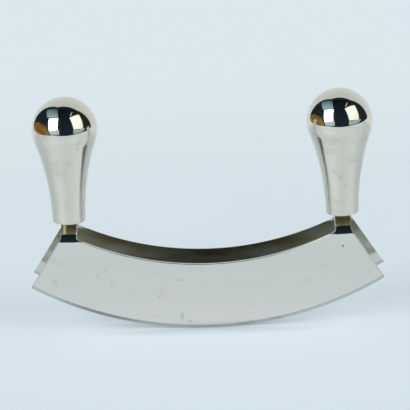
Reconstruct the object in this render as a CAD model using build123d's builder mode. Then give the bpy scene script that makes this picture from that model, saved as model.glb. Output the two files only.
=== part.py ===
"""Double-bladed mezzaluna (rocking herb chopper) in stainless steel.

Two crescent blades stand side by side. Each is one pressed sheet whose two end tabs
lean in, meet the other blade's tabs on the middle plane and rise as a doubled tang
into a hollow, pear-shaped handle.

Frame: X along the blades, Y from the front blade (-Y) to the rear blade (+Y), Z up.
The origin is under the middle of the tool, on the board that both cutting edges touch.
Lengths are in millimetres.
"""

import os
from math import asin, degrees, radians, sqrt, tan

from build123d import *

# Blade outline, seen from the front
blade_length = 220.0        # tip to tip
edge_radius = 218.0         # convex cutting edge
spine_radius = 182.0        # concave back of the blade
mid_height = 42.4           # cutting edge to spine, in the middle
end_slope = 32.0            # degrees that each oblique end leans from the vertical
spine_corner_radius = 1.8   # where the spine runs up into a tab
shoulder_radius = 4.0       # where an oblique end runs up into a tab

# Blade section
blade_thickness = 1.6
blade_gap = 26.0            # clear space between the two blades
bevel_height = 2.2          # ground on both sides of the cutting edge
edge_land = 0.2             # width left at the very edge
spine_rounding = 0.4        # broken edge along the spine

# Tabs and tangs
tab_width = 10.0
bend_drop = 2.6             # a tab starts to bend this far below the spine's end
lower_bend_radius = 4.6     # inside of the wide bend above the blade
upper_bend_radius = 1.6     # inside of the tight bend under the handle
tab_lean = 68.7             # degrees from the vertical, between the two bends
tang_length = 26.0          # above the handle's base
rivet_rise = 14.0           # rivet axis above the handle's base

# Handles
handle_inset = 25.0         # handle axis to the blade's tip, along the tool
handle_standoff = 0.7       # handle's flat base above the upper bend
handle_length = 79.6
ball_diameter = 41.0
neck_diameter = 20.6        # at the base
shell_wall = 1.2
rim_wall = 0.9              # shell wall left beside the base plug
base_rounding = 0.4
plug_thickness = 4.0
fill_height = 33.0          # top of the cast filling above the base

# Rivet through each pair of tangs
rivet_diameter = 3.0
rivet_head_diameter = 5.6
rivet_head_height = 1.1
rivet_head_rounding = 0.4

# Clearances
slot_clearance = 0.1        # tang in the plug's slot, all round
hole_clearance = 0.1        # rivet shank in the tangs, on the radius
seat_clearance = 0.05       # plug in the shell, and filling on its neighbours
cut_overrun = 5.0           # how far a cutting shape runs past what it cuts

# Angle of a quarter of a circle, in degrees
quarter_turn = 90.0

# Blade heights and places that follow from the sizes above
half_length = blade_length / 2
handle_x = half_length - handle_inset
tab_inner_x = handle_x - tab_width / 2
tab_outer_x = handle_x + tab_width / 2
tip_height = edge_radius - sqrt(edge_radius**2 - half_length**2)
spine_end_height = mid_height + spine_radius - sqrt(spine_radius**2 - tab_inner_x**2)
shoulder_height = tip_height + (half_length - tab_outer_x) / tan(radians(end_slope))
sheet_y = blade_gap / 2 + blade_thickness / 2
tang_y = blade_thickness / 2
half_depth = blade_gap / 2 + blade_thickness

# The tab's two bends, on the sheet's middle line
lower_bend_middle = lower_bend_radius + blade_thickness / 2
upper_bend_middle = upper_bend_radius + blade_thickness / 2
half_lean = tan(radians(tab_lean) / 2)
lower_corner = spine_end_height - bend_drop + lower_bend_middle * half_lean
upper_corner = lower_corner + (sheet_y - tang_y) / tan(radians(tab_lean))
lean_y = (sheet_y + tang_y) / 2
lean_height = (lower_corner + upper_corner) / 2
handle_base = upper_corner + upper_bend_middle * half_lean + handle_standoff
tang_top = handle_base + tang_length

# Handle profile: a flank arc that is upright at the base and tangent to the ball
ball_radius = ball_diameter / 2
neck_radius = neck_diameter / 2
ball_height = handle_length - ball_radius
flank_radius = (neck_radius**2 + ball_height**2 - ball_radius**2) / (2 * (ball_radius - neck_radius))
flank_angle = degrees(asin(ball_height / (flank_radius + ball_radius)))
seat_radius = neck_radius - rim_wall

os.makedirs("parts", exist_ok=True)


def handle_plane(side):
    """Upright plane through a handle's axis: x is the radius, y the height above the base."""
    return Plane(origin=(side * handle_x, 0, handle_base), x_dir=(1, 0, 0), z_dir=(0, -1, 0))


def handle_axis(side):
    """Vertical axis of the left (-1) or right (1) handle."""
    return Axis((side * handle_x, 0, handle_base), (0, 0, 1))


def wall_point(height, inset):
    """Point of the flank at a height above the base, a distance inside the outer skin."""
    radius = flank_radius + inset
    return (neck_radius + flank_radius - sqrt(radius**2 - height**2), height)


def flank_arc(low, high_angle, inset):
    """Concave flank, from a height above the base up to an angle at the arc's own centre."""
    radius = flank_radius + inset
    low_angle = degrees(asin(low / radius))
    start_angle = 2 * quarter_turn - low_angle
    return CenterArc((neck_radius + flank_radius, 0), radius, start_angle, low_angle - high_angle)


def make_blade(name, face_sign):
    """One pressed blade with its two tabs; face_sign is -1 for the front blade, 1 for the rear."""
    edge_axis = Axis((0, 0, edge_radius), (0, 1, 0))
    inner_y = face_sign * blade_gap / 2
    outer_y = face_sign * half_depth

    with BuildPart() as blade:
        # The sheet's section, bent in two places, over the whole length
        with BuildSketch(Plane.YZ):
            with BuildLine():
                FilletPolyline(
                    (face_sign * sheet_y, 0),
                    (face_sign * sheet_y, lower_corner),
                    (face_sign * lean_y, lean_height),
                    radius=lower_bend_middle,
                )
                FilletPolyline(
                    (face_sign * lean_y, lean_height),
                    (face_sign * tang_y, upper_corner),
                    (face_sign * tang_y, tang_top),
                    radius=upper_bend_middle,
                )
            trace(line_width=blade_thickness)
        extrude(amount=half_length, both=True)

        # Outline seen from the front
        with BuildSketch(Plane.XZ):
            with BuildLine():
                ThreePointArc((-half_length, tip_height), (0, 0), (half_length, tip_height))
                FilletPolyline(
                    (half_length, tip_height),
                    (tab_outer_x, shoulder_height),
                    (tab_outer_x, tang_top),
                    radius=shoulder_radius,
                )
                Line((tab_outer_x, tang_top), (tab_inner_x, tang_top))
                Line((tab_inner_x, tang_top), (tab_inner_x, spine_end_height))
                ThreePointArc(
                    (tab_inner_x, spine_end_height), (0, mid_height), (-tab_inner_x, spine_end_height)
                )
                Line((-tab_inner_x, spine_end_height), (-tab_inner_x, tang_top))
                Line((-tab_inner_x, tang_top), (-tab_outer_x, tang_top))
                FilletPolyline(
                    (-tab_outer_x, tang_top),
                    (-tab_outer_x, shoulder_height),
                    (-half_length, tip_height),
                    radius=shoulder_radius,
                )
            outline = make_face()
            spine_corners = [
                outline.vertices().sort_by_distance((corner_x, spine_end_height))[0]
                for corner_x in (-tab_inner_x, tab_inner_x)
            ]
            fillet(spine_corners, radius=spine_corner_radius)
        extrude(amount=half_depth + cut_overrun, both=True, mode=Mode.INTERSECT)

        # Bevels ground on both sides of the cutting edge
        with BuildSketch(Plane.YZ):
            for skin_y, land_sign in ((outer_y, face_sign), (inner_y, -face_sign)):
                land_y = face_sign * sheet_y + land_sign * edge_land / 2
                slope = (skin_y - land_y) / bevel_height
                with BuildLine():
                    Polyline(
                        (land_y - slope * cut_overrun, -cut_overrun),
                        (skin_y, bevel_height),
                        (skin_y, bevel_height + cut_overrun),
                        (skin_y + land_sign * cut_overrun, bevel_height + cut_overrun),
                        (skin_y + land_sign * cut_overrun, -cut_overrun),
                        close=True,
                    )
                make_face()
        revolve(axis=edge_axis, mode=Mode.SUBTRACT)

        # Rivet holes through the tangs
        with Locations(Plane.XZ):
            with Locations((-handle_x, handle_base + rivet_rise), (handle_x, handle_base + rivet_rise)):
                Hole(radius=rivet_diameter / 2 + hole_clearance)

        # Broken edges along the spine
        spine_edges = blade.edges().filter_by(GeomType.CIRCLE).filter_by(
            lambda e: abs(e.radius - spine_radius) < spine_rounding
        )
        fillet(spine_edges, radius=spine_rounding)

    blade.part.label = name
    return blade


def make_shell(name, side):
    """Hollow pear-shaped handle, open at its base for the plug."""
    with BuildPart() as shell:
        with BuildSketch(handle_plane(side)):
            with BuildLine():
                flank_arc(0, flank_angle, 0)
                CenterArc((0, ball_height), ball_radius, -flank_angle, flank_angle + quarter_turn)
                Line((0, handle_length), (0, handle_length - shell_wall))
                CenterArc(
                    (0, ball_height), ball_radius - shell_wall, quarter_turn, -quarter_turn - flank_angle
                )
                flank_arc(plug_thickness, flank_angle, shell_wall)
                Polyline(
                    wall_point(plug_thickness, shell_wall),
                    (seat_radius, plug_thickness),
                    (seat_radius, 0),
                    (neck_radius, 0),
                )
            make_face()
        revolve(axis=handle_axis(side))
        base_rim = shell.edges().filter_by(GeomType.CIRCLE).group_by(Axis.Z)[0].sort_by(SortBy.RADIUS)[-1]
        fillet(base_rim, radius=base_rounding)
    shell.part.label = name
    return shell


def make_plug(name, side):
    """Disc pressed into the shell's open base, slotted for the doubled tang."""
    with BuildPart() as plug:
        with BuildSketch(Plane((side * handle_x, 0, handle_base))):
            Circle(seat_radius - seat_clearance)
            Rectangle(
                tab_width + 2 * slot_clearance,
                2 * (blade_thickness + slot_clearance),
                mode=Mode.SUBTRACT,
            )
        extrude(amount=plug_thickness)
    plug.part.label = name
    return plug


def make_filling(name, side):
    """Cast filling that beds the tangs and their rivet inside the shell."""
    skin = shell_wall + seat_clearance
    bottom = plug_thickness + seat_clearance
    fill_angle = degrees(asin(fill_height / (flank_radius + skin)))
    head_reach = blade_thickness + rivet_head_height + seat_clearance
    with BuildPart() as filling:
        with BuildSketch(handle_plane(side)):
            with BuildLine():
                flank_arc(bottom, fill_angle, skin)
                Polyline(
                    wall_point(fill_height, skin),
                    (0, fill_height),
                    (0, bottom),
                    wall_point(bottom, skin),
                )
            make_face()
        revolve(axis=handle_axis(side))
        with BuildSketch(Plane((side * handle_x, 0, handle_base))):
            Rectangle(tab_width + 2 * seat_clearance, 2 * (blade_thickness + seat_clearance))
        extrude(amount=tang_length + seat_clearance, mode=Mode.SUBTRACT)
        with BuildSketch(handle_plane(side)):
            with Locations((0, rivet_rise)):
                Circle(rivet_head_diameter / 2 + seat_clearance)
        extrude(amount=head_reach, both=True, mode=Mode.SUBTRACT)
    filling.part.label = name
    return filling


def make_rivet(name, side):
    """Rivet that joins the front and the rear tang inside a handle."""
    with BuildPart() as rivet:
        with BuildSketch(handle_plane(side)):
            with Locations((0, rivet_rise)):
                Circle(rivet_diameter / 2)
        extrude(amount=blade_thickness, both=True)
        for face_sign in (-1, 1):
            head_plane = handle_plane(side).offset(face_sign * blade_thickness)
            with BuildSketch(head_plane):
                with Locations((0, rivet_rise)):
                    Circle(rivet_head_diameter / 2)
            extrude(amount=face_sign * rivet_head_height)
        head_rims = rivet.edges().filter_by(GeomType.CIRCLE)
        fillet(head_rims.group_by(Axis.Y)[0] + head_rims.group_by(Axis.Y)[-1], radius=rivet_head_rounding)
    rivet.part.label = name
    return rivet


front_blade = make_blade("front_blade", -1)
rear_blade = make_blade("rear_blade", 1)
pieces = [front_blade, rear_blade]
for side, hand in ((-1, "left"), (1, "right")):
    pieces.append(make_shell(f"{hand}_handle_shell", side))
    pieces.append(make_plug(f"{hand}_base_plug", side))
    pieces.append(make_filling(f"{hand}_handle_filling", side))
    pieces.append(make_rivet(f"{hand}_tang_rivet", side))

for piece in pieces:
    export_step(piece.part, f"parts/{piece.part.label}.step")
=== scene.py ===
"""Double-bladed mezzaluna in polished stainless steel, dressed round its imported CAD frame.

Two pressed crescent blades lean their end tabs together and carry a hollow, ball-ended
handle over each end. Sizes are in millimetres in the classes and become metres when a
mesh is finished. X runs along the blades, Y from the front blade to the rear one, Z up.
"""

import logging
import math
from dataclasses import dataclass
from enum import Enum, IntEnum

import bmesh
import bpy
from mathutils import Matrix, Vector


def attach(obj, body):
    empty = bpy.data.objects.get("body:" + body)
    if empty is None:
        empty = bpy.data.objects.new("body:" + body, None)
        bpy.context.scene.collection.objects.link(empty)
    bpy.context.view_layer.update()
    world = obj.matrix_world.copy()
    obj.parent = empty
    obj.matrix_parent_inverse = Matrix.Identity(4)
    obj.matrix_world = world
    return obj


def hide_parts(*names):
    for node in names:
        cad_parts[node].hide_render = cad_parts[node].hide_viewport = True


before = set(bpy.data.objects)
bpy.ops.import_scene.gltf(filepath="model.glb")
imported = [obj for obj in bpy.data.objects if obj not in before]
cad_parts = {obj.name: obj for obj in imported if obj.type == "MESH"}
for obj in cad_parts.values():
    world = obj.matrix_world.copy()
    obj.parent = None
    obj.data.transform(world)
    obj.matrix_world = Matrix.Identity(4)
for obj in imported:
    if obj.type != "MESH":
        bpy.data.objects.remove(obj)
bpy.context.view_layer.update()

MM = 0.001
BODY = "root"
# Faces that turn by more than this meet in a sharp edge.
SHARP_ANGLE = math.radians(35)
# Millimetres below which two lengths are taken as equal.
HAIR = 1e-4
LOG = logging.getLogger("mezzaluna")
Tree = bpy.types.NodeTree
Socket = bpy.types.NodeSocket
Material = bpy.types.Material
Mesh = bmesh.types.BMesh
Vert = bmesh.types.BMVert
Edge = bmesh.types.BMEdge
Layer = bmesh.types.BMLayerItem
# What a shader's input takes: a number, or the output of another node.
Input = float | Socket


class Face(Enum):
    """Which of the two blades a mesh is, by the sign of its Y."""

    FRONT = -1
    REAR = 1


class Hand(Enum):
    """Which of the two handles a piece belongs to, by the sign of its X."""

    LEFT = -1
    RIGHT = 1


class Finish(IntEnum):
    """Finishes of a blade, by their material index."""

    OUTER_FACE = 0
    INNER_FACE = 1
    GROUND_BEVEL = 2
    BROKEN_EDGE = 3
    CUT_END = 4


def linear(code: str) -> tuple[float, float, float, float]:
    """Turn an sRGB hex colour such as "#C8D1CE" into linear RGBA."""
    levels = [int(code[i:i + 2], 16) / 255 for i in (1, 3, 5)]
    return (*(v / 12.92 if v <= 0.04045 else ((v + 0.055) / 1.055) ** 2.4 for v in levels), 1.0)


def add_node(
    tree: Tree, kind: str, settings: dict | None = None, **inputs: Input | tuple,
) -> bpy.types.Node:
    """Add one shader node with its settings and links.

    Args:
        tree: Node tree that the node goes into.
        kind: The node's type name, less its ShaderNode.
        settings: Properties set on the node itself.
        **inputs: Socket values or output sockets; a name such as i0 is an index, and
            underscores stand for spaces.

    Returns:
        The new node.
    """
    node = tree.nodes.new(f"ShaderNode{kind}")
    for key, value in (settings or {}).items():
        setattr(node, key, value)
    for key, value in inputs.items():
        indexed = key[0] == "i" and key[1:].isdigit()
        socket = node.inputs[int(key[1:])] if indexed else node.inputs[key.replace("_", " ")]
        if isinstance(value, Socket):
            tree.links.new(value, socket)
        else:
            socket.default_value = value
    return node


def math_node(tree: Tree, operation: str, *values: Input, clamp: bool = False) -> Socket:
    """Add one math node and return its result, which clamp keeps between 0 and 1."""
    inputs = {f"i{i}": value for i, value in enumerate(values)}
    settings = {"operation": operation, "use_clamp": clamp}
    return add_node(tree, "Math", settings, **inputs).outputs[0]


def new_material(name: str) -> tuple[Material, Tree, bpy.types.Node]:
    """Make an empty node material, and return it with its tree and output node."""
    material = bpy.data.materials.new(name)
    material.use_nodes = True
    material.node_tree.nodes.clear()
    return material, material.node_tree, add_node(material.node_tree, "OutputMaterial")


def noise(tree: Tree, place: Socket, size: float, detail: float, roughness: float = 0.5) -> Socket:
    """Noise from 0 to 1, in cells of a size in millimetres."""
    return add_node(
        tree, "TexNoise", Vector=place, Scale=1 / (size * MM), Detail=detail, Roughness=roughness
    ).outputs[0]


def ramp(
    tree: Tree, value: Input, start: float, end: float, low: Input = 0.0, high: Input = 1.0,
    smooth: bool = False,
) -> Socket:
    """Go from low to high while a value goes from start to end, and stay level outside."""
    return add_node(
        tree, "MapRange", {"interpolation_type": "SMOOTHSTEP" if smooth else "LINEAR"},
        Value=value, From_Min=start, From_Max=end, To_Min=low, To_Max=high,
    ).outputs[0]


def blend(tree: Tree, share: Socket, first: str | Socket, second: str | Socket) -> Socket:
    """Mix two colours, where the share is that of the second."""
    one, two = (linear(c) if isinstance(c, str) else c for c in (first, second))
    return add_node(tree, "Mix", {"data_type": "RGBA"}, i0=share, i6=one, i7=two).outputs[2]


def linked(bm: Mesh, name: str, *materials: Material) -> bpy.types.Object:
    """Turn a modelled mesh, which is freed, into an object of the scene."""
    mesh = bpy.data.meshes.new(name)
    bm.to_mesh(mesh)
    bm.free()
    for material in materials:
        mesh.materials.append(material)
    obj = bpy.data.objects.new(name, mesh)
    bpy.context.scene.collection.objects.link(obj)
    return obj


def finished(bm: Mesh, name: str, *materials: Material) -> bpy.types.Object:
    """Turn a mesh in millimetres into an object in metres at the origin.

    Args:
        bm: The modelled mesh, which is freed.
        name: The object's name.
        *materials: Its finishes, in the order of the faces' material indices.

    Returns:
        The linked object.
    """
    bmesh.ops.scale(bm, vec=(MM, MM, MM), verts=bm.verts)
    bmesh.ops.recalc_face_normals(bm, faces=bm.faces)
    return linked(bm, name, *materials)


def shade(bm: Mesh) -> None:
    """Shade all faces smooth, but for the edges where they turn by over SHARP_ANGLE."""
    for face in bm.faces:
        face.smooth = True
    for edge in bm.edges:
        if edge.is_manifold and edge.calc_face_angle(0.0) > SHARP_ANGLE:
            edge.smooth = False


@dataclass(frozen=True)
class MarkOrShade:
    """One small mark on a blade's outer face, or a patch of painted shade on its bevel: its middle,
    size and depth of colour.
    """

    x: float
    z: float
    width: float
    height: float
    depth: float


@dataclass(frozen=True)
class PolishedSteel:
    """Stainless steel, ground and buffed to a mirror.

    To the eye it is a warm grey mirror: each bounce takes a little more blue than red,
    so the narrow space between the blades turns brown. Close to, it has fine buffing
    lines, faint hand smudges and a slight waviness from pressing. Real buffing lines are
    too fine to show, so they are drawn coarser, at line_width.
    """

    name: str
    tint: str = "#EDE8E0"
    smudge_tint: str = "#E6DFD3"
    roughness: float = 0.045
    haze: float = 0.05
    line_width: float = 0.35
    line_stretch: tuple[float, float, float] = (0.02, 1.0, 1.0)
    smudge_size: float = 16.0
    smudge_stretch: tuple[float, float, float] = (1.0, 1.0, 1.0)
    smudge_start: float = 0.5
    smudge_ramp: float = 0.22
    wave_size: float = 22.0
    wave_height: float = 0.004
    satin: float = 0.0
    satin_height: float = 0.0
    satin_fade: float = 25.0
    marked_or_shaded_skin: float = -14.6
    ragged_size: float = 1.3
    mark_or_shade_core: float = 0.7
    mark_or_shade_rim: float = 1.5
    # Real marks, and on the ground bevel a patch of painted shade.
    marks_and_shade: tuple[MarkOrShade, ...] = ()

    def marked_and_shaded(self, tree: Tree, place: Socket, colour: Socket) -> Socket:
        """Darken a colour at each mark and each patch of painted shade, inside a ragged outline.

        Args:
            tree: Node tree of the material.
            place: Object coordinates.
            colour: The colour without marks or painted shade.

        Returns:
            The marked colour.
        """
        ragged = noise(tree, place, self.ragged_size, 3.0)
        for mark_or_shade in self.marks_and_shade:
            spot = add_node(
                tree, "Mapping", {"vector_type": "TEXTURE"}, Vector=place,
                Location=(mark_or_shade.x * MM, self.marked_or_shaded_skin * MM, mark_or_shade.z * MM),
                Scale=(mark_or_shade.width / 2 * MM, mark_or_shade.width / 2 * MM, mark_or_shade.height / 2 * MM),
            ).outputs[0]
            reach = add_node(tree, "VectorMath", {"operation": "LENGTH"}, i0=spot).outputs["Value"]
            kept = ramp(
                tree, math_node(tree, "ADD", reach, ragged), self.mark_or_shade_core, self.mark_or_shade_rim,
                1 - mark_or_shade.depth, 1.0, smooth=True,
            )
            colour = add_node(
                tree, "VectorMath", {"operation": "SCALE"}, i0=colour, Scale=kept
            ).outputs[0]
        return colour

    def drawn_out(
        self, tree: Tree, place: Socket, size: float, stretch: tuple[float, float, float],
    ) -> Socket:
        """Noise drawn out along the axes on which its stretch is small."""
        drawn = add_node(
            tree, "Mapping", {"vector_type": "POINT"}, Vector=place, Scale=stretch
        ).outputs[0]
        return noise(tree, drawn, size, 4.0, 0.6)

    def make(self) -> Material:
        """Build the material."""
        material, tree, out = new_material(self.name)
        place = add_node(tree, "TexCoord").outputs["Object"]
        lines = self.drawn_out(tree, place, self.line_width, self.line_stretch)
        smudges = self.drawn_out(tree, place, self.smudge_size, self.smudge_stretch)
        full = self.smudge_start + self.smudge_ramp
        smudge = ramp(tree, smudges, self.smudge_start, full, smooth=True)
        colour = blend(tree, smudge, self.tint, self.smudge_tint)
        if self.marks_and_shade:
            colour = self.marked_and_shaded(tree, place, colour)
        gloss = math_node(tree, "MULTIPLY_ADD", lines, self.haze, self.roughness)
        height = add_node(tree, "SeparateXYZ", Vector=place).outputs["Z"]
        satin = ramp(
            tree, height, (self.satin_height - self.satin_fade) * MM, self.satin_height * MM,
            self.satin, 0.0,
        )
        waves = noise(tree, place, self.wave_size, 1.0)
        bump = add_node(
            tree, "Bump", Height=waves, Distance=self.wave_height * MM, Strength=1.0
        ).outputs[0]
        steel = add_node(
            tree, "BsdfPrincipled", Base_Color=colour, Metallic=1.0,
            Roughness=math_node(tree, "ADD", gloss, satin), Normal=bump,
        )
        tree.links.new(steel.outputs[0], out.inputs[0])
        return material


@dataclass(frozen=True)
class PlugSteelPaintedShade:
    """Matt olive-brown steel for the handle plugs, whose colour is painted shade.

    It has almost no shine: a matt olive brown with darker clouds, painted to stand in for the
    dim light that bounces between a tab and the handle's underside, a fine grain, and on the
    left plug one pale band, a painted highlight; the polished tabs below it pick these up. The
    grain is drawn coarser than a real one, so that it shows.
    """

    name: str = "heat_tinted_weld_steel"
    tint: str = "#948E6A"
    dark_tint: str = "#5C5841"
    # A painted highlight: a pale band on the left plug only, with its tint, place and width.
    painted_highlight_tint: str = "#FFF7CC"
    painted_highlight_x: float = -88.1
    painted_highlight_width: float = 1.7
    cloud_size: float = 4.0
    grain_size: float = 0.3
    shine: float = 0.3

    def make(self) -> Material:
        """Build the material."""
        material, tree, out = new_material(self.name)
        place = add_node(tree, "TexCoord").outputs["Object"]
        clouds = noise(tree, place, self.cloud_size, 3.0)
        grain = noise(tree, place, self.grain_size, 2.0)
        # Painted shade: the olive brown and its darker clouds stand in for the dim light between a
        # tab and the handle's underside.
        colour = blend(tree, clouds, self.tint, self.dark_tint)
        across = add_node(tree, "SeparateXYZ", Vector=place).outputs["X"]
        aside = math_node(tree, "SUBTRACT", across, self.painted_highlight_x * MM)
        aside = math_node(tree, "ABSOLUTE", aside)
        # Painted highlight: a pale band on the left plug, which the tab below mirrors as a bright
        # streak.
        painted_highlight = ramp(tree, aside, 0.0, self.painted_highlight_width * MM, 1.0, 0.0, smooth=True)
        colour = blend(tree, painted_highlight, colour, self.painted_highlight_tint)
        bump = add_node(tree, "Bump", Height=grain, Distance=0.02 * MM, Strength=0.5).outputs[0]
        steel = add_node(
            tree, "BsdfPrincipled", Base_Color=colour, Metallic=self.shine,
            Roughness=0.5, Normal=bump,
        )
        tree.links.new(steel.outputs[0], out.inputs[0])
        return material


@dataclass(frozen=True)
class CastResin:
    """Filled casting resin, poured and set inside the handle.

    It gives a dull, slightly mottled putty-grey body with mineral grains, which are drawn
    coarser than real ones, so that they show.
    """

    name: str = "filled_casting_resin"
    tint: str = "#B0A998"
    grain_tint: str = "#8A8374"
    grain_size: float = 0.8

    def make(self) -> Material:
        """Build the material."""
        material, tree, out = new_material(self.name)
        place = add_node(tree, "TexCoord").outputs["Object"]
        grains = noise(tree, place, self.grain_size, 3.0)
        colour = blend(tree, grains, self.tint, self.grain_tint)
        bump = add_node(tree, "Bump", Height=grains, Distance=0.05 * MM, Strength=0.6).outputs[0]
        resin = add_node(
            tree, "BsdfPrincipled", Base_Color=colour, Roughness=0.7, IOR=1.54, Normal=bump,
        )
        tree.links.new(resin.outputs[0], out.inputs[0])
        return material


@dataclass
class Blade:
    """One pressed blade: crescent, ground edge, two bent tabs and the tangs above them."""

    face: Face
    length: float = 220.0
    edge_radius: float = 218.0
    spine_radius: float = 182.0
    mid_height: float = 42.4
    end_slope: float = 32.0
    spine_corner: float = 1.8
    shoulder: float = 4.0
    thickness: float = 1.6
    gap: float = 26.0
    grind_height: float = 2.2
    land: float = 0.2
    spine_edge: float = 0.45
    end_edge: float = 0.25
    inner_edge: float = 0.15
    side_roll: float = 0.3
    roll_width: float = 2.0
    tab_width: float = 10.0
    handle_inset: float = 25.0
    bend_drop: float = 2.6
    bend_radius: float = 4.6
    upper_radius: float = 1.6
    tab_lean: float = 68.7
    tang_length: float = 26.0
    standoff: float = 0.7
    spine_columns: int = 120
    tab_shares: tuple[float, ...] = (
        0.0, 0.06, 0.11, 0.16, 0.21, 0.35, 0.5, 0.65, 0.79, 0.84, 0.89, 0.94, 1.0,
    )
    flat_shares: tuple[float, ...] = (0.25, 0.5, 0.75, 0.9, 0.945, 0.962, 0.981, 1.0)
    bend_rows: int = 14
    root_step: float = 0.1
    fillet_step: float = 0.3
    fillet_rows: int = 8
    tang_row: float = 9.0
    least_step: float = 0.02
    side_slack: float = 0.01

    def __post_init__(self) -> None:
        """Work out the heights and places that follow from the sizes."""
        self.half = self.length / 2
        self.handle_x = self.half - self.handle_inset
        self.inner_x = self.handle_x - self.tab_width / 2
        self.outer_x = self.handle_x + self.tab_width / 2
        self.tip_z = self.edge_radius - math.sqrt(self.edge_radius**2 - self.half**2)
        self.spine_centre = self.mid_height + self.spine_radius
        spine_end = self.spine_centre - math.sqrt(self.spine_radius**2 - self.inner_x**2)
        end_rise = (self.half - self.outer_x) / math.tan(math.radians(self.end_slope))
        self.shoulder_z = self.tip_z + end_rise
        self.sheet_y = (self.gap + self.thickness) / 2
        self.tang_y = self.thickness / 2
        self.lean = math.radians(self.tab_lean)
        self.low_middle = self.bend_radius + self.thickness / 2
        self.high_middle = self.upper_radius + self.thickness / 2
        setback = (self.low_middle + self.high_middle) * math.tan(self.lean / 2)
        self.bend_low = spine_end - self.bend_drop
        rise = (self.sheet_y - self.tang_y) / math.tan(self.lean)
        self.bend_high = self.bend_low + setback + rise
        self.handle_base = self.bend_high + self.standoff
        self.tang_top = self.handle_base + self.tang_length
        self.full = self.thickness / 2 - HAIR

    def tab_left(self, z: float) -> float:
        """Inner side of the tab at a height, with the fillet that runs into the spine."""
        centre_x = self.inner_x - self.spine_corner
        reach = self.spine_radius - self.spine_corner
        centre_z = self.spine_centre - math.sqrt(reach**2 - centre_x**2)
        drop = max(centre_z - z, 0.0)
        return centre_x + math.sqrt(max(self.spine_corner**2 - drop**2, 0.0))

    def tab_right(self, z: float) -> float:
        """Outer side of the tab at a height, with the fillet that runs into the oblique end."""
        start = self.shoulder_z + self.shoulder * math.tan(math.radians(self.end_slope) / 2)
        drop = max(start - z, 0.0)
        return self.outer_x + self.shoulder - math.sqrt(max(self.shoulder**2 - drop**2, 0.0))

    def roots(self) -> tuple[Vector, Vector]:
        """Where the inner fillet leaves the spine, and the outer one the oblique end."""
        centre_x = self.inner_x - self.spine_corner
        reach = self.spine_radius - self.spine_corner
        fall = math.sqrt(reach**2 - centre_x**2)
        grow = self.spine_radius / reach
        inner = Vector((centre_x * grow, self.spine_centre - fall * grow))
        slope = math.radians(self.end_slope)
        back = self.shoulder * math.tan(slope / 2)
        outer = Vector((
            self.outer_x + back * math.sin(slope),
            self.shoulder_z - back * math.cos(slope),
        ))
        return inner, outer

    def section(self, z: float) -> tuple[float, float]:
        """Middle of the bent sheet at a height.

        Args:
            z: Height above the board.

        Returns:
            Distance from the tool's middle plane, and how far the sheet leans in radians.
        """
        low_arc = self.low_middle * math.sin(self.lean)
        high_arc = self.high_middle * math.sin(self.lean)
        if z <= self.bend_low:
            return self.sheet_y, 0.0
        if z <= self.bend_low + low_arc:
            lean = math.asin((z - self.bend_low) / self.low_middle)
            return self.sheet_y - self.low_middle * (1 - math.cos(lean)), lean
        if z < self.bend_high - high_arc:
            first = self.sheet_y - self.low_middle * (1 - math.cos(self.lean))
            return first - (z - self.bend_low - low_arc) * math.tan(self.lean), self.lean
        if z < self.bend_high:
            lean = math.asin((self.bend_high - z) / self.high_middle)
            return self.tang_y + self.high_middle * (1 - math.cos(lean)), lean
        return self.tang_y, 0.0

    def tab_rows(self) -> list[float]:
        """Heights of the tab's rows, close together in the two bends."""
        steps = [self.lean * i / self.bend_rows for i in range(self.bend_rows + 1)]
        low = [self.bend_low + self.low_middle * math.sin(a) for a in steps]
        high = [self.bend_high - self.high_middle * math.sin(a) for a in reversed(steps)]
        start = self.roots()[1].y + self.root_step
        fillet = [start + self.fillet_step * i for i in range(self.fillet_rows)]
        rows = [z for z in low + fillet if z > start] + [start]
        rows += high + [self.tang_top - self.tang_row, self.tang_top]
        rows = sorted(rows)
        return [z for i, z in enumerate(rows) if i == 0 or z - rows[i - 1] > self.least_step]

    def columns(self) -> list[tuple[Vector, Vector]]:
        """Foot and head of each column of the crescent, from the left tip to the right."""
        inner, outer = self.roots()
        heads = []
        for i in range(self.spine_columns + 1):
            angle = math.asin(inner.x / self.spine_radius) * (2 * i / self.spine_columns - 1)
            heads.append(Vector((
                self.spine_radius * math.sin(angle),
                self.spine_centre - self.spine_radius * math.cos(angle),
            )))
        for share in self.tab_shares[1:]:
            head = inner.lerp(outer, share)
            heads.append(head)
            heads.insert(0, Vector((-head.x, head.y)))
        pairs = []
        tip_angle = math.asin(self.half / self.edge_radius)
        for head in heads:
            angle = tip_angle * head.x / outer.x
            foot = Vector((
                self.edge_radius * math.sin(angle),
                self.edge_radius * (1 - math.cos(angle)),
            ))
            pairs.append((foot, head))
        return pairs

    def grind_line(self, foot: Vector, head: Vector) -> float:
        """Share of a column at which the ground bevel ends."""
        way, start = head - foot, foot - Vector((0, self.edge_radius))
        radius = self.edge_radius - self.grind_height
        a, b, c = way.dot(way), way.dot(start), start.dot(start) - radius**2
        return (-b - math.sqrt(b * b - a * c)) / a

    def rolled(self, x: float, z: float) -> float:
        """How far the tab's inner side is rolled back from its outer skin at a place."""
        start = self.roots()[0].y
        full = start + self.spine_corner
        if z <= start:
            return 0.0
        share = min((z - start) / (full - start), 1.0)
        inside = abs(x) - self.tab_left(z)
        if inside < -self.side_slack or inside > self.roll_width:
            return 0.0
        return self.side_roll * share * (1 - max(inside, 0.0) / self.roll_width)**2

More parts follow.
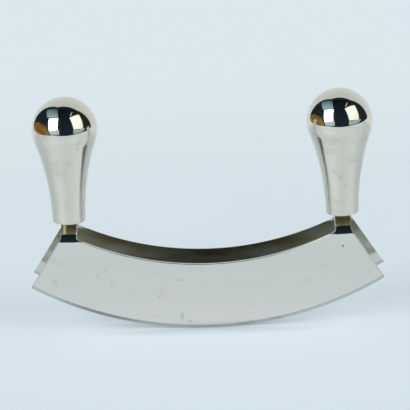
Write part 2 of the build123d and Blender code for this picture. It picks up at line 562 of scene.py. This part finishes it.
    def build(self, *materials: Material) -> bpy.types.Object:
        """Model the blade.

        Args:
            *materials: Its finishes, in the order of Finish.

        Returns:
            The finished object.
        """
        bm = bmesh.new()
        lean = bm.verts.layers.float.new("lean")
        half = bm.verts.layers.float.new("half")
        top = self.crescent(bm, half)
        wide = len(self.tab_shares)
        for strip in (top[:wide], top[-wide:]):
            self.raise_tab(bm, strip, half)
        self.bend(bm, lean)
        outer = self.thicken(bm, lean, half)
        self.part_finishes(bm, half, outer)
        self.break_edges(bm, half, outer)
        bmesh.ops.scale(bm, vec=(1, self.face.value, 1), verts=bm.verts)
        shade(bm)
        obj = finished(bm, f"{self.face.name.lower()}_crescent_blade", *materials)
        weighted = obj.modifiers.new("even_shading", "WEIGHTED_NORMAL")
        weighted.mode = "FACE_AREA"
        weighted.weight = 90
        weighted.keep_sharp = True
        return obj

    def crescent(self, bm: Mesh, half: Layer) -> list[Vert]:
        """Lay the crescent's middle surface as a grid, with one row along the grind line.

        Args:
            bm: The blade's mesh, still empty.
            half: Layer that takes half of the sheet's thickness.

        Returns:
            The vertices of its upper side, from left to right.
        """
        pairs = self.columns()
        last_column, last_row = len(pairs) - 1, len(self.flat_shares) + 1
        bmesh.ops.create_grid(bm, x_segments=last_column, y_segments=last_row, size=1.0)
        top = []
        for vert in bm.verts:
            column = round((vert.co.x + 1) / 2 * last_column)
            row = round((vert.co.y + 1) / 2 * last_row)
            foot, head = pairs[column]
            grind = self.grind_line(foot, head)
            if row == 0:
                share = 0.0
            elif row == 1:
                share = grind
            else:
                share = grind + (1 - grind) * self.flat_shares[row - 2]
            spot = foot.lerp(head, share)
            vert.co = (spot.x, 0, spot.y)
            vert[half] = self.land / 2 if row == 0 else self.thickness / 2
            if row == last_row:
                top.append(vert)
        return sorted(top, key=lambda v: v.co.x)

    def raise_tab(self, bm: Mesh, strip: list[Vert], half: Layer) -> None:
        """Extrude a tab and its tang upwards from the spine's end.

        Args:
            bm: The blade's middle surface.
            strip: The root vertices, from left to right.
            half: Layer with half of the sheet's thickness.
        """
        side = 1 if strip[0].co.x > 0 else -1
        current = strip
        for z in self.tab_rows():
            pairs = set(zip(current, current[1:]))
            edges = [bm.edges.get(pair) for pair in pairs]
            made = bmesh.ops.extrude_edge_only(bm, edges=edges)["geom"]
            fresh = [g for g in made if isinstance(g, Vert)]
            fresh.sort(key=lambda v: v.co.x)
            low, high = self.tab_left(z), self.tab_right(z)
            if side < 0:
                low, high = -high, -low
            for i, vert in enumerate(fresh):
                vert.co = (low + (high - low) * i / (len(fresh) - 1), 0, z)
                vert[half] = self.thickness / 2
            current = fresh

    def bend(self, bm: Mesh, lean: Layer) -> None:
        """Bend the middle surface to its section and roll the tabs' inner sides back."""
        for vert in bm.verts:
            y, tilt = self.section(vert.co.z)
            roll = self.rolled(vert.co.x, vert.co.z)
            vert[lean] = tilt
            vert.co.y = y - roll * math.cos(tilt)
            vert.co.z -= roll * math.sin(tilt)

    def thicken(self, bm: Mesh, lean: Layer, half: Layer) -> set[Vert]:
        """Turn the middle surface into a sheet, and return its outer skin's vertices."""
        raised = bmesh.ops.extrude_face_region(bm, geom=bm.faces[:])["geom"]
        outer = {g for g in raised if isinstance(g, Vert)}
        for vert in bm.verts:
            shift = vert[half] if vert in outer else -vert[half]
            vert.co.y += shift * math.cos(vert[lean])
            vert.co.z += shift * math.sin(vert[lean])
        bmesh.ops.recalc_face_normals(bm, faces=bm.faces)
        return outer

    def part_finishes(self, bm: Mesh, half: Layer, outer: set[Vert]) -> None:
        """Give the bevels and inner face their finishes, and keep the ground lines sharp."""
        for skin in bm.faces:
            if any(v[half] < self.full for v in skin.verts):
                skin.material_index = Finish.GROUND_BEVEL
            elif not outer.intersection(skin.verts):
                skin.material_index = Finish.INNER_FACE
        for edge in bm.edges:
            if all(v[half] < self.full for v in edge.verts):
                edge.smooth = False
        for edge in self.grind_edges(bm, half):
            edge.smooth = False

    def grind_edges(self, bm: Mesh, half: Layer) -> list[Edge]:
        """Edges along the line where the ground bevel meets the flat of the blade."""
        found = []
        for edge in bm.edges:
            if all(v[half] > self.full for v in edge.verts):
                thin = [f for f in edge.link_faces if any(v[half] < self.full for v in f.verts)]
                if len(thin) == 1 and len(edge.link_faces) == 2:
                    found.append(edge)
        return found

    def break_edges(self, bm: Mesh, half: Layer, outer: set[Vert]) -> None:
        """Round the sheet's edges, all but the cutting edge.

        Args:
            bm: The sheet.
            half: Layer with half of its thickness.
            outer: Vertices of its outer skin.
        """
        rim = [f for f in bm.faces if 0 < len(outer.intersection(f.verts)) < len(f.verts)]
        broken = {
            e for f in rim for e in f.edges
            if (e.verts[0] in outer) == (e.verts[1] in outer)
            and all(v[half] > self.full for v in e.verts)
        }
        skin_edges = [e for e in broken if e.verts[0] in outer]
        inner_edges = [e for e in broken if e.verts[0] not in outer]
        for edges, offset, finish in (
            ([e for e in skin_edges if self.inward(e)], self.spine_edge, Finish.BROKEN_EDGE),
            ([e for e in skin_edges if not self.inward(e)], self.end_edge, Finish.CUT_END),
            (inner_edges, self.inner_edge, Finish.BROKEN_EDGE),
        ):
            # A bevel can remove an edge that a later list still names.
            made = bmesh.ops.bevel(
                bm, geom=[e for e in edges if e.is_valid], offset=offset, offset_type="OFFSET",
                affect="EDGES", segments=4, profile=0.5, material=-1, clamp_overlap=True,
            )["faces"]
            for face in made:
                face.material_index = finish

    def inward(self, edge: Edge) -> bool:
        """Whether an edge belongs to the spine or the tabs' inner sides."""
        return all(abs(v.co.x) < self.handle_x for v in edge.verts)


@dataclass
class Handle:
    """A hollow pear-shaped handle: the drawn shell that stands over one end of the blades."""

    hand: Hand
    axis_x: float
    base_z: float
    length: float = 79.6
    ball: float = 41.0
    neck: float = 20.6
    wall: float = 1.2
    rim_wall: float = 0.9
    base_rounding: float = 0.3
    plug: float = 4.0
    around: int = 192
    rounding_steps: int = 6
    flank_steps: int = 72
    ball_steps: int = 64
    inner_ball_steps: int = 32
    inner_flank_steps: int = 36
    quarter: float = math.radians(90)

    def __post_init__(self) -> None:
        """Work out the flank arc, upright at the base and tangent to the ball."""
        self.ball_r = self.ball / 2
        self.neck_r = self.neck / 2
        self.ball_z = self.length - self.ball_r
        reach = self.neck_r**2 + self.ball_z**2 - self.ball_r**2
        self.flank = reach / (2 * (self.ball_r - self.neck_r))
        self.join = math.asin(self.ball_z / (self.flank + self.ball_r))

    def arc(
        self, bm: Mesh, start: Vert, centre: tuple[float, float],
        angle: float, steps: int,
    ) -> Vert:
        """Spin a vertex about a point of the profile plane.

        Args:
            bm: The profile's mesh.
            start: Vertex that is spun.
            centre: Radius and height of the arc's centre.
            angle: Turn in radians, positive from the axis side upwards.
            steps: Number of edges in the arc.

        Returns:
            The last vertex of the arc.
        """
        made = bmesh.ops.spin(
            bm, geom=[start], cent=(centre[0], 0, centre[1]), axis=(0, -1, 0), angle=angle,
            steps=steps, use_merge=False, use_duplicate=False,
        )["geom_last"]
        return next(g for g in made if isinstance(g, Vert))

    def line(self, bm: Mesh, start: Vert, r: float, z: float) -> Vert:
        """Join a vertex to a new one at a radius and height, and return the new one."""
        end = bm.verts.new((r, 0, z))
        bm.edges.new((start, end))
        return end

    def build(self, material: Material) -> bpy.types.Object:
        """Model the shell.

        Args:
            material: Its finish.

        Returns:
            The finished object.
        """
        bm = bmesh.new()
        rounding = self.base_rounding
        # The flank's arc starts a little above the rounded rim.
        low = math.asin(rounding / self.flank) * 1.5
        seat = self.neck_r - self.rim_wall
        inner_low = math.asin(self.plug / (self.flank + self.wall))
        centre = (self.neck_r + self.flank, 0)
        ball = (0, self.ball_z)
        over = self.join + self.quarter

        first = bm.verts.new((seat, 0, 0))
        tip = self.line(bm, first, self.neck_r - rounding, 0)
        tip = self.arc(
            bm, tip, (self.neck_r - rounding, rounding), self.quarter, self.rounding_steps
        )
        tip = self.line(bm, tip, centre[0] - self.flank * math.cos(low), self.flank * math.sin(low))
        tip = self.arc(bm, tip, centre, -(self.join - low), self.flank_steps)
        tip = self.arc(bm, tip, ball, over, self.ball_steps)
        tip.co.x = 0
        tip = self.line(bm, tip, 0, self.length - self.wall)
        tip = self.arc(bm, tip, ball, -over, self.inner_ball_steps)
        tip = self.arc(bm, tip, centre, self.join - inner_low, self.inner_flank_steps)
        tip = self.line(bm, tip, seat, self.plug)
        bm.edges.new((tip, first))

        bmesh.ops.spin(
            bm, geom=bm.verts[:] + bm.edges[:], cent=(0, 0, 0), axis=(0, 0, 1), angle=math.tau,
            steps=self.around, use_merge=True, use_duplicate=False,
        )
        bmesh.ops.remove_doubles(bm, verts=bm.verts, dist=HAIR)
        bmesh.ops.translate(bm, vec=(self.axis_x, 0, self.base_z), verts=bm.verts)
        bmesh.ops.recalc_face_normals(bm, faces=bm.faces)
        shade(bm)
        return finished(bm, f"{self.hand.name.lower()}_ball_handle", material)


@dataclass(frozen=True)
class Camera:
    """Long lens, somewhat above the tool and rolled a little, as in the picture.

    Angles are in degrees, the lens and its sensor in millimetres, the rest in metres.
    """

    azimuth: float = -1.78
    elevation: float = 20.35
    roll: float = 2.43
    away: float = 2.68
    pivot: tuple[float, float, float] = (0.0, 0.0, 0.040)
    aim: tuple[float, float, float] = (-0.00016, 0.0, 0.07612)
    lens: float = 377.0
    sensor: float = 36.0

    def build(self) -> None:
        """Set the camera up and let the scene use it."""
        azimuth, elevation = math.radians(self.azimuth), math.radians(self.elevation)
        ahead = Vector((
            math.sin(azimuth) * math.cos(elevation),
            math.cos(azimuth) * math.cos(elevation),
            -math.sin(elevation),
        ))
        spot = Vector(self.pivot) - ahead * self.away
        data = bpy.data.cameras.new("camera")
        data.lens = self.lens
        data.sensor_width = self.sensor
        camera = bpy.data.objects.new("camera", data)
        bpy.context.scene.collection.objects.link(camera)
        facing = (Vector(self.aim) - spot).to_track_quat("-Z", "Y").to_matrix().to_4x4()
        rolled = Matrix.Rotation(math.radians(-self.roll), 4, "Z")
        camera.matrix_world = Matrix.Translation(spot) @ facing @ rolled
        bpy.context.scene.camera = camera


@dataclass(frozen=True)
class Softbox:
    """One softbox: its place, its light, and the cloth that reflections see.

    The azimuth counts from the front, positive to the right, and the turn is in the lamp's
    own plane; angles are in degrees and lengths in metres. A level of 1 is paper white.
    """

    name: str
    azimuth: float
    elevation: float
    away: float
    size: tuple[float, float]
    level: float
    turn: float
    cloth: tuple[str, ...]
    cloth_level: float


SOFTBOXES = (
    Softbox(
        "left_softbox", azimuth=-44.8, elevation=31.9, away=4.0, size=(2.35, 2.9), level=7.4,
        turn=21.3, cloth=("#F6FCFF",) * 4, cloth_level=3.2,
    ),
    Softbox(
        "right_softbox", azimuth=59.5, elevation=33.2, away=4.0, size=(2.8, 3.2), level=5.5,
        turn=-13.6, cloth=("#D4DCDC", "#C9D0C8", "#D8E0DC", "#E6EDEA"), cloth_level=1.7,
    ),
)


@dataclass
class Studio:
    """Paper sweep, two softboxes and a dark room. Lengths are in metres.

    A pair of numbers is where a change across the paper starts and where it ends.
    """

    paper_near: str = "#D6E3EB"
    paper_far: str = "#DCE7ED"
    room: str = "#1C2A33"
    sweep_low: str = "#DCE6EB"
    sweep_high: str = "#C9D1D3"
    sweep_fade: float = 1.0
    # Painted light and shade of the paper that only reflections see.
    gloss_base: float = 0.875
    front_gain: float = -0.07
    beside_loss: float = 0.09
    sheen: float = 0.048
    sheen_roughness: float = 0.55
    floor_outline: tuple[tuple[float, float], ...] = (
        (-1.6, -1.9), (2.2, -1.9), (2.0, 0.9), (-0.5, 0.9),
    )
    sweep_left: float = -0.64
    sweep_right: float = 1.3
    sweep_back: float = 0.56
    sweep_radius: float = 0.2
    sweep_height: float = 2.1
    glow: float = 0.7
    mirrored_glow: float = 0.55
    trapped: float = 0.85
    contact_reach: float = 0.016
    contact_end: float = 0.25
    fade_start: float = 0.25
    fade_end: float = 0.45
    contact_fade: float = 0.08
    paper_turn: tuple[float, float] = (-0.15, 0.5)
    base_turn: tuple[float, float] = (0.1, 0.3)
    front_turn: tuple[float, float] = (-0.24, -0.14)
    beside_middle: float = 0.08
    beside_turn: tuple[float, float] = (0.06, 0.14)
    between_x: tuple[float, float] = (0.05, 0.112)
    between_y: tuple[float, float] = (0.009, 0.017)
    lamp_aim: float = 0.1
    room_middle: float = 0.129
    cloth_offset: float = 0.05

    def __post_init__(self) -> None:
        """Make the finish that the room's lit surfaces share."""
        self.room_light = self.glowing("room_surfaces", 1.0)

    def seen(self, tree: Tree) -> Socket:
        """Light path output that is 1 for camera, glossy and transmission rays."""
        path = add_node(tree, "LightPath")
        shown = math_node(tree, "ADD", path.outputs["Is Camera Ray"], path.outputs["Is Glossy Ray"])
        return math_node(tree, "ADD", shown, path.outputs["Is Transmission Ray"], clamp=True)

    def paper(self) -> Material:
        """Pale blue-white background paper, smooth and matt, which keeps the tool's shadow."""
        material, tree, out = new_material("background_paper")
        place = add_node(tree, "TexCoord").outputs["Object"]
        mirrored = add_node(tree, "LightPath").outputs["Is Glossy Ray"]
        reach = add_node(tree, "VectorMath", {"operation": "LENGTH"}, i0=place).outputs["Value"]
        colour = self.paper_colour(tree, place, mirrored)
        level = self.paper_level(tree, place, mirrored, reach)
        near = math_node(tree, "MULTIPLY_ADD", mirrored, self.mirrored_glow - self.glow, self.glow)
        fade = ramp(tree, reach, self.fade_start, self.fade_end, near, 1.0)
        matt = add_node(tree, "BsdfDiffuse", Color=colour).outputs[0]
        even = add_node(tree, "Emission", Color=colour, Strength=level).outputs[0]
        mixed = add_node(
            tree, "MixShader",
            i0=self.times(tree, self.seen(tree), fade), i1=matt, i2=even,
        ).outputs[0]
        sheen = self.times(tree, mirrored, self.sheen)
        tone = add_node(tree, "CombineColor", Red=sheen, Green=sheen, Blue=sheen).outputs[0]
        shine = add_node(
            tree, "BsdfAnisotropic", Color=tone, Roughness=self.sheen_roughness
        ).outputs[0]
        whole = add_node(tree, "AddShader", i0=mixed, i1=shine).outputs[0]
        tree.links.new(whole, out.inputs[0])
        return material

    def paper_colour(self, tree: Tree, place: Socket, mirrored: Socket) -> Socket:
        """Colour of the paper from front to back, with painted light and shade in reflections.

        Args:
            tree: Node tree of the paper.
            place: Object coordinates.
            mirrored: One for rays that come from a reflection.

        Returns:
            The colour.
        """
        y = add_node(tree, "SeparateXYZ", Vector=place).outputs["Y"]
        share = ramp(tree, y, *self.paper_turn)
        colour = blend(tree, share, self.paper_near, self.paper_far)
        # Painted light and shade for reflections: a little darker near the tool, lighter far in
        # front, darker behind the tool where its shadow falls.
        shaded = math_node(
            tree, "ADD", ramp(tree, y, *self.base_turn, 1 - self.gloss_base, 0.0),
            ramp(tree, y, *self.front_turn, self.front_gain, 0.0),
        )
        beside = math_node(tree, "SUBTRACT", y, self.beside_middle)
        shaded = math_node(
            tree, "MULTIPLY_ADD",
            self.inside(tree, beside, self.beside_turn), self.beside_loss, shaded,
        )
        return add_node(
            tree, "VectorMath", {"operation": "SCALE"},
            i0=colour, Scale=self.less(tree, self.times(tree, mirrored, shaded), 1.0),
        ).outputs[0]

    def paper_level(self, tree: Tree, place: Socket, mirrored: Socket, reach: Socket) -> Socket:
        """Brightness of the paper, less where the tool touches it and between the blades.

        Args:
            tree: Node tree of the paper.
            place: Object coordinates.
            mirrored: One for rays that come from a reflection.
            reach: Distance from the middle of the tool.

        Returns:
            The brightness, where 1 is paper white.
        """
        axes = add_node(tree, "SeparateXYZ", Vector=place).outputs
        open_share = add_node(
            tree, "AmbientOcclusion", {"samples": 8}, Distance=self.contact_reach
        ).outputs["AO"]
        away = ramp(tree, reach, self.contact_end - self.contact_fade, self.contact_end)
        level = math_node(tree, "MAXIMUM", open_share, away)
        between = self.times(
            tree, self.inside(tree, axes["X"], self.between_x),
            self.inside(tree, axes["Y"], self.between_y),
        )
        hidden = self.times(tree, between, mirrored)
        return self.times(tree, level, self.less(tree, hidden, self.trapped))

    def times(self, tree: Tree, first: Input, second: Input) -> Socket:
        """Multiply two values."""
        return math_node(tree, "MULTIPLY", first, second)

    def less(self, tree: Tree, value: Input, share: float) -> Socket:
        """One, less a share of a value."""
        return math_node(tree, "MULTIPLY_ADD", value, -share, 1.0)

    def inside(self, tree: Tree, value: Input, turn: tuple[float, float]) -> Socket:
        """One near zero, falling smoothly to nothing on either side."""
        return ramp(tree, math_node(tree, "ABSOLUTE", value), *turn, 1.0, 0.0, smooth=True)

    def glowing(self, name: str, level: float) -> Material:
        """Evenly lit surfaces, seen only in reflections, in the tones of their corners."""
        material, tree, out = new_material(name)
        tone = add_node(tree, "Attribute", {"attribute_name": "tone"}).outputs["Color"]
        light = add_node(tree, "Emission", Color=tone, Strength=level)
        tree.links.new(light.outputs[0], out.inputs[0])
        return material

    def place(self, bm: Mesh, name: str, material: Material) -> bpy.types.Object:
        """Link a mesh as part of the studio."""
        obj = linked(bm, name, material)
        return obj

    def panel(
        self, name: str, corners: list[tuple[float, float, float]], tones: tuple[str, ...],
        light: Material | None = None,
    ) -> None:
        """Hang one lit surface of the room between its corners, for reflections only.

        Args:
            name: The surface's name.
            corners: Places of its corners.
            tones: Colour at each corner.
            light: Its finish, if not that of the room.
        """
        bm = bmesh.new()
        layer = bm.verts.layers.float_color.new("tone")
        verts = [bm.verts.new(corner) for corner in corners]
        for vert, tone in zip(verts, tones):
            vert[layer] = linear(tone)
        bmesh.ops.contextual_create(bm, geom=verts)
        bmesh.ops.subdivide_edges(bm, edges=bm.edges[:], cuts=7, use_grid_fill=True)
        self.reflected(self.place(bm, name, light or self.room_light))

    def aimed(
        self, name: str, away: float, spots: list[tuple[float, float]], tones: tuple[str, ...],
    ) -> None:
        """Hang a lit surface by its corners' directions: azimuth and elevation in degrees."""
        middle = Vector((0, 0, self.room_middle))
        self.panel(name, [self.direction(*spot) * away + middle for spot in spots], tones)

    def direction(self, azimuth: float, elevation: float) -> Vector:
        """Unit vector of a direction, with the azimuth from the front, positive to the right."""
        a, e = math.radians(azimuth), math.radians(elevation)
        return Vector((math.sin(a) * math.cos(e), -math.cos(a) * math.cos(e), math.sin(e)))

    def reflected(self, obj: bpy.types.Object) -> None:
        """Leave an object to reflections only."""
        obj.visible_camera = False
        obj.visible_shadow = False
        obj.visible_diffuse = False

    def build_paper(self) -> None:
        """Lay the floor paper and hang the sweep behind it."""
        floor = bmesh.new()
        corners = [floor.verts.new((x, y, 0)) for x, y in self.floor_outline]
        bmesh.ops.contextual_create(floor, geom=corners)
        self.place(floor, "floor_paper", self.paper())

        start = self.sweep_back - self.sweep_radius
        bm = bmesh.new()
        layer = bm.verts.layers.float_color.new("tone")
        ends = [bm.verts.new((x, start, 0.001)) for x in (self.sweep_left, self.sweep_right)]
        edge = bm.edges.new(ends)
        made = bmesh.ops.spin(
            bm, geom=[*ends, edge], cent=(0, start, self.sweep_radius), axis=(1, 0, 0),
            angle=math.radians(90), steps=16, use_merge=False, use_duplicate=False,
        )["geom_last"]
        last = [g for g in made if isinstance(g, Edge)]
        for height in (0.3, 0.5, 0.8, 1.2, 1.6, self.sweep_height):
            risen = bmesh.ops.extrude_edge_only(bm, edges=last)["geom"]
            for vert in (g for g in risen if isinstance(g, Vert)):
                vert.co.z = height
            last = [g for g in risen if isinstance(g, Edge)]
        low, high = Vector(linear(self.sweep_low)), Vector(linear(self.sweep_high))
        for vert in bm.verts:
            vert[layer] = low.lerp(high, min(vert.co.z / self.sweep_fade, 1.0))
        for face in bm.faces:
            face.smooth = True
        self.reflected(self.place(bm, "sweep_paper", self.room_light))

    def hang(self, box: Softbox) -> None:
        """Hang one softbox, aimed at the tool, with its cloth before it."""
        lamp = bpy.data.lights.new(box.name, "AREA")
        lamp.shape = "RECTANGLE"
        lamp.size, lamp.size_y = box.size
        lamp.energy = box.level * math.pi * box.size[0] * box.size[1]
        obj = bpy.data.objects.new(box.name, lamp)
        bpy.context.scene.collection.objects.link(obj)
        spot = self.direction(box.azimuth, box.elevation)
        facing = spot.to_track_quat("Z", "Y").to_matrix().to_4x4()
        middle = spot * box.away + Vector((0, 0, self.lamp_aim))
        turned = Matrix.Rotation(math.radians(box.turn), 4, "Z")
        obj.matrix_world = Matrix.Translation(middle) @ facing @ turned
        obj.visible_camera = False
        wide, high = box.size[0] / 2, box.size[1] / 2
        corners = ((-wide, -high), (wide, -high), (wide, high), (-wide, high))
        places = [obj.matrix_world @ Vector((x, y, -self.cloth_offset)) for x, y in corners]
        name = f"{box.name}_cloth"
        self.panel(name, places, box.cloth, self.glowing(name, box.cloth_level))

    def build_world(self) -> None:
        """Dark room for reflections, pale background for the camera."""
        world = bpy.data.worlds.new("studio_room")
        bpy.context.scene.world = world
        world.use_nodes = True
        tree = world.node_tree
        tree.nodes.clear()
        path = add_node(tree, "LightPath")
        colour = blend(tree, path.outputs["Is Camera Ray"], self.room, self.paper_far)
        light = add_node(tree, "Background", Color=colour, Strength=1.0).outputs[0]
        add_node(tree, "OutputWorld", Surface=light)

    def build(self) -> None:
        """Set up the whole studio."""
        bpy.context.scene.view_settings.view_transform = "Standard"
        self.build_world()
        self.build_paper()
        for box in SOFTBOXES:
            self.hang(box)
        self.build_room()

    def build_room(self) -> None:
        """Things round the table that the polished balls pick up."""
        wood = ("#9A7340", "#6F4F27", "#5E4422", "#A98A5A")
        self.panel(
            "wooden_bench",
            [(-0.5, 0.36, -0.005), (-0.95, -0.6, -0.005), (-2.6, -1.6, -0.005), (-2.6, 1.9, -0.005)],
            wood,
        )
        self.aimed(
            "wooden_cupboard", 2.0, [(-125, 0), (-108, 12), (-67, 19.5), (-52, -3), (-90, -8)],
            (*wood, wood[2]),
        )
        self.aimed(
            "window_pane", 4.4, [(-83, 39), (-33, 57), (-110, 72), (-121, 40)],
            ("#A6C8D4", "#9DBCC6", "#3A5560", "#50808E"),
        )
        self.aimed(
            "left_table_shine", 4.4, [(-56, 8), (-17, 16), (-16, 0), (-47, -2)],
            ("#CBDDE3", "#C4D8E0", "#A9C2CC", "#BCD0D8"),
        )
        self.aimed(
            "right_table_shine", 4.4, [(33.5, 11.5), (82, 5), (67, -1.5), (33, -1)],
            ("#B9CDD4", "#A9C0C8", "#8FA8B0", "#A2B8BF"),
        )
        self.panel(
            "dark_ceiling",
            [(-2.6, -5.0, 2.0), (3.6, -5.0, 2.0), (2.4, 0.5, 5.5), (-1.9, 0.5, 5.5)],
            (self.room, self.room, "#121A17", "#0B1211"),
        )
        self.aimed(
            "dark_shelves", 6.0, [(58, 0), (106, 0), (114, 58), (64, 62)],
            ("#222A2A", "#2C3029", "#1A1D18", "#232B27"),
        )
        self.aimed("lamp_arm", 4.4, [(46, 62), (82, 66.5), (90, 65), (54, 61)], ("#DCE4E4",) * 4)


# Small dark marks and faint stains in the front blade's outer face.
FRONT_MARKS = (
    MarkOrShade(84.7, 51.6, 1.9, 1.9, 0.8),
    MarkOrShade(26.4, 3.7, 1.8, 1.5, 0.7),
    MarkOrShade(38.6, 5.5, 1.6, 1.2, 0.45),
    MarkOrShade(-16.7, 8.2, 3.6, 7.0, 0.22),
    MarkOrShade(-12.1, 4.7, 4.5, 3.0, 0.2),
    MarkOrShade(-18.0, 32.4, 4.0, 1.8, 0.22),
    MarkOrShade(-30.9, 21.5, 4.0, 1.8, 0.18),
    MarkOrShade(-63.6, 39.9, 3.8, 4.8, 0.08),
    MarkOrShade(-59.6, 31.8, 4.8, 4.8, 0.08),
    MarkOrShade(-68.1, 36.7, 3.4, 4.0, 0.07),
    MarkOrShade(-95.0, 33.3, 6.0, 9.0, 0.08),
)
# Painted shade: the left part of the ground bevel is darker, where it mirrors the tool's shadow on
# the paper.
BEVEL_PAINTED_SHADE = (MarkOrShade(-66.0, 12.0, 76.0, 60.0, 0.42),)


def blade_finishes() -> tuple[Material, ...]:
    """Make the finishes of the blades, in the order of Finish."""
    return (
        PolishedSteel(
            "mirror_ground_blade_steel", smudge_tint="#E7E2D4", smudge_size=7.0,
            smudge_stretch=(0.4, 1.0, 1.0), smudge_start=0.54, marks_and_shade=FRONT_MARKS,
        ).make(),
        # Rolled, rougher steel for the inner faces; its tint is kept darker than the outer face's as
        # painted shade between the blades.
        PolishedSteel(
            "rolled_inner_steel_painted_shade", tint="#E0E0D8", smudge_tint="#CAC2AF", roughness=0.075,
            line_stretch=(0.3, 1.0, 1.0), smudge_size=7.0, smudge_stretch=(0.2, 1.0, 1.0),
            smudge_start=0.45,
        ).make(),
        # Ground, rougher steel; its darker tint is painted shade, for the shadowed paper close under
        # the edge that the bevel mirrors.
        PolishedSteel(
            "ground_bevel_steel_painted_shade", tint="#CACEC9", smudge_tint="#B4B8B0", roughness=0.2,
            marks_and_shade=BEVEL_PAINTED_SHADE,
        ).make(),
        PolishedSteel(
            "deburred_edge_steel", tint="#F1EFEA", smudge_tint="#E4E0D8", haze=0.02,
        ).make(),
        PolishedSteel(
            "sheared_end_steel", tint="#A6A8A1", smudge_tint="#9A9A90", roughness=0.35,
        ).make(),
    )


def main() -> None:
    """Build the studio and every piece of the tool."""
    logging.basicConfig(level=logging.INFO, format="%(name)s: %(message)s")
    Camera().build()
    Studio().build()
    finishes = blade_finishes()
    handle_steel = PolishedSteel(
        "buffed_handle_steel", tint="#E9E4D6", smudge_tint="#DFD5C6", haze=0.02,
        line_stretch=(1.0, 1.0, 0.3), smudge_size=11.0, wave_size=14.0, satin=0.08,
        satin_height=128.0,
    ).make()
    resin = CastResin().make()
    weld_steel = PlugSteelPaintedShade().make()
    for face in Face:
        blade = Blade(face)
        obj = blade.build(*finishes)
        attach(obj, BODY)
        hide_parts(f"{face.name.lower()}_blade")
        LOG.info("%s: %d faces", obj.name, len(obj.data.polygons))
    for hand in Hand:
        handle = Handle(hand, hand.value * blade.handle_x, blade.handle_base)
        obj = handle.build(handle_steel)
        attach(obj, BODY)
        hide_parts(f"{hand.name.lower()}_handle_shell")
        LOG.info("%s: %d faces", obj.name, len(obj.data.polygons))
    for name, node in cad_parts.items():
        if node.hide_render:
            continue
        material = resin if "filling" in name else weld_steel if "plug" in name else handle_steel
        node.data.materials.clear()
        node.data.materials.append(material)
        LOG.info("%s: finish %s", name, material.name)


if __name__ == "__main__":
    main()
